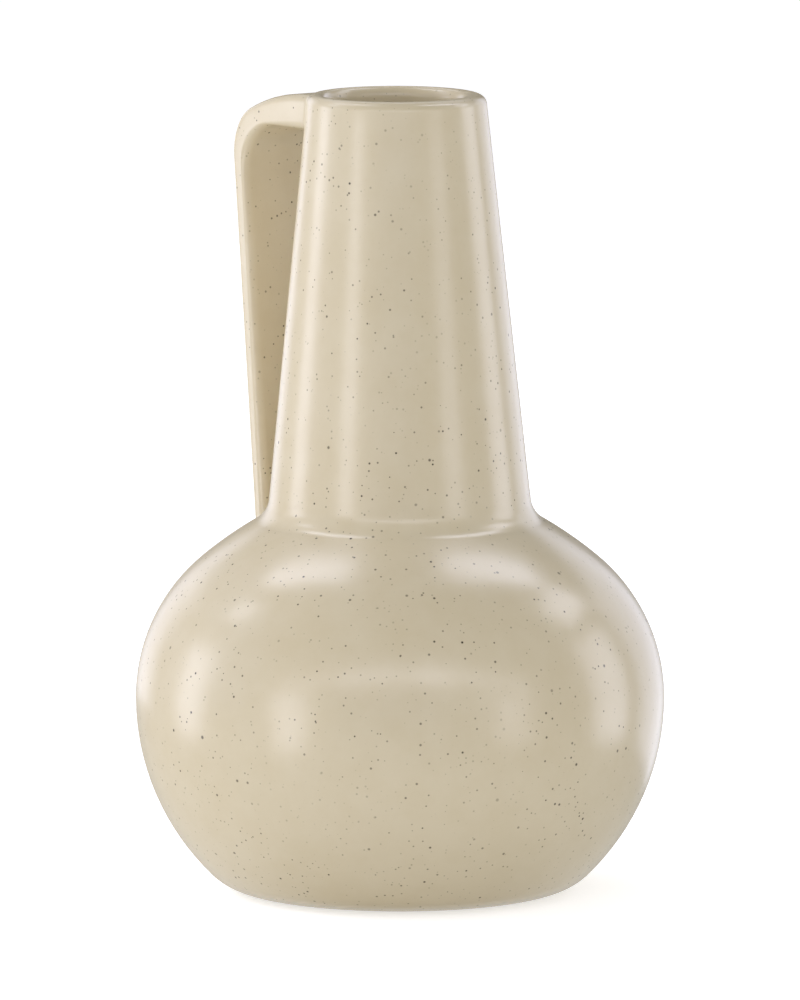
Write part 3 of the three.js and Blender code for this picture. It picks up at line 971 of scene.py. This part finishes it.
def light_room(scene, studio):
    """Lights the room evenly, with its own picture for the glaze and white for the camera."""
    world = scene.world or bpy.data.worlds.new("studio_room")
    scene.world = world
    world.use_nodes = True
    tree = world.node_tree
    tree.nodes.clear()
    ray = add_node(tree, "ShaderNodeLightPath")
    way = add_node(tree, "ShaderNodeTexCoord").outputs["Generated"]
    up = add_node(tree, "ShaderNodeSeparateXYZ", [("Vector", way)]).outputs["Z"]

    # Light that falls on the vase: even round the walls, weaker from the ceiling
    falling = add_node(
        tree, "ShaderNodeMapRange", [("Value", up)],
        To_Min=studio.ambient, To_Max=studio.ambient * CEILING_SHARE)

    # What the glaze mirrors: dim walls, a bright sweep of floor, and the dark under the vase
    sweep = add_node(
        tree, "ShaderNodeMapRange", [("Value", up)],
        From_Min=SWEEP_SPAN[0], From_Max=SWEEP_SPAN[1], To_Min=SWEEP_LEVEL, To_Max=WALL_LEVEL)
    under = add_node(
        tree, "ShaderNodeMapRange", [("Value", up)],
        From_Min=UNDER_SPAN[0], From_Max=UNDER_SPAN[1], To_Min=UNDER_LEVEL)
    mirrored = add_node(
        tree, "ShaderNodeMath", [(0, sweep.outputs[0]), (1, under.outputs[0])], operation="MULTIPLY")
    choice = [
        ("Value", ray.outputs["Is Glossy Ray"]),
        ("To Min", falling.outputs[0]),
        ("To Max", mirrored.outputs[0]),
    ]
    level = add_node(tree, "ShaderNodeMapRange", choice)

    # What the camera sees behind the vase: plain white
    straight = [(0, ray.outputs["Is Camera Ray"]), (1, ray.outputs["Is Transmission Ray"])]
    plain = add_node(tree, "ShaderNodeMath", straight, operation="MAXIMUM")
    strength = add_node(
        tree, "ShaderNodeMapRange", [("Value", plain.outputs[0]), ("To Min", level.outputs[0])])
    room = add_node(tree, "ShaderNodeBackground", [("Strength", strength.outputs[0])], Color=WHITE)
    add_node(tree, "ShaderNodeOutputWorld", [("Surface", room.outputs[0])])


def hang_lamps(studio):
    """Hangs the softboxes, which only mirror, and the wide lamps, which only light."""
    mirrored_names = {softbox[0] for softbox in SOFTBOXES}
    for name, turn, rise, width, height, radiance in SOFTBOXES + KEY_LIGHTS:
        direction = towards(studio.azimuth + math.radians(turn), math.radians(rise))
        deselect()
        bpy.ops.object.light_add(type="AREA", location=LAMP_TARGET + direction * LAMP_DISTANCE)
        lamp = bpy.context.object
        lamp.name = name
        lamp.rotation_euler = direction.to_track_quat("Z", "Y").to_euler()
        lamp.data.shape = "RECTANGLE"
        lamp.data.size = 2 * LAMP_DISTANCE * math.tan(math.radians(width) / 2)
        lamp.data.size_y = 2 * LAMP_DISTANCE * math.tan(math.radians(height) / 2)
        area = lamp.data.size * lamp.data.size_y
        lamp.data.color = LAMP_COLOUR
        lamp.data.energy = studio.softboxes * radiance * area * AREA_TO_RADIANCE
        lamp.visible_camera = False
        lamp.visible_glossy = name in mirrored_names
        lamp.visible_diffuse = not lamp.visible_glossy


def set_camera(scene, studio):
    """Sets the camera where the photo was taken from."""
    back = towards(studio.azimuth, studio.elevation)
    deselect()
    bpy.ops.object.camera_add(location=Vector((0, 0, studio.look_height)) + back * studio.distance)
    camera = bpy.context.object
    camera.name = "studio_camera"
    camera.rotation_euler = back.to_track_quat("Z", "Y").to_euler()
    camera.data.sensor_fit = "VERTICAL"
    camera.data.sensor_height = SENSOR_HEIGHT
    camera.data.lens = LENS
    scene.camera = camera


class VASE_OT_studio(bpy.types.Operator):
    """Set the floor, the room light, the lamps and the camera"""

    bl_idname = "vase.studio"
    bl_label = "Studio"

    def execute(self, context):
        studio = context.scene.vase_studio
        context.scene.view_settings.view_transform = "Standard"
        lay_floor()
        light_room(context.scene, studio)
        hang_lamps(studio)
        set_camera(context.scene, studio)
        return {"FINISHED"}


class VASE_PT_sidebar(bpy.types.Panel):
    """Lists the pieces and settings of the vase"""

    bl_idname = "VASE_PT_sidebar"
    bl_label = "Jug vase"
    bl_space_type = "VIEW_3D"
    bl_region_type = "UI"
    bl_category = "Jug vase"

    def draw(self, context):
        for operator in OPERATORS:
            self.layout.operator(operator.bl_idname)
        for settings in (context.scene.vase_sizes, context.scene.vase_finish, context.scene.vase_studio):
            for name in settings.__annotations__:
                self.layout.prop(settings, name)


OPERATORS = (
    VASE_OT_belly,
    VASE_OT_foot_ring,
    VASE_OT_neck,
    VASE_OT_neck_coil,
    VASE_OT_strap_handle,
    VASE_OT_handle_slips,
    VASE_OT_studio,
)
CLASSES = (VaseSizes, VaseFinish, VaseStudio, *OPERATORS, VASE_PT_sidebar)


def register():
    """Registers the classes and hangs the settings on the scene."""
    for one in CLASSES:
        bpy.utils.register_class(one)
    bpy.types.Scene.vase_sizes = bpy.props.PointerProperty(type=VaseSizes)
    bpy.types.Scene.vase_finish = bpy.props.PointerProperty(type=VaseFinish)
    bpy.types.Scene.vase_studio = bpy.props.PointerProperty(type=VaseStudio)


def unregister():
    """Takes the settings and the classes away again."""
    del bpy.types.Scene.vase_studio
    del bpy.types.Scene.vase_finish
    del bpy.types.Scene.vase_sizes
    for one in reversed(CLASSES):
        bpy.utils.unregister_class(one)


def main():
    """Builds every piece and the studio."""
    register()
    bpy.ops.vase.belly()
    bpy.ops.vase.foot_ring()
    bpy.ops.vase.neck()
    bpy.ops.vase.neck_coil()
    bpy.ops.vase.strap_handle()
    bpy.ops.vase.handle_slips()
    bpy.ops.vase.studio()
    deselect()


if __name__ == "__main__":
    main()
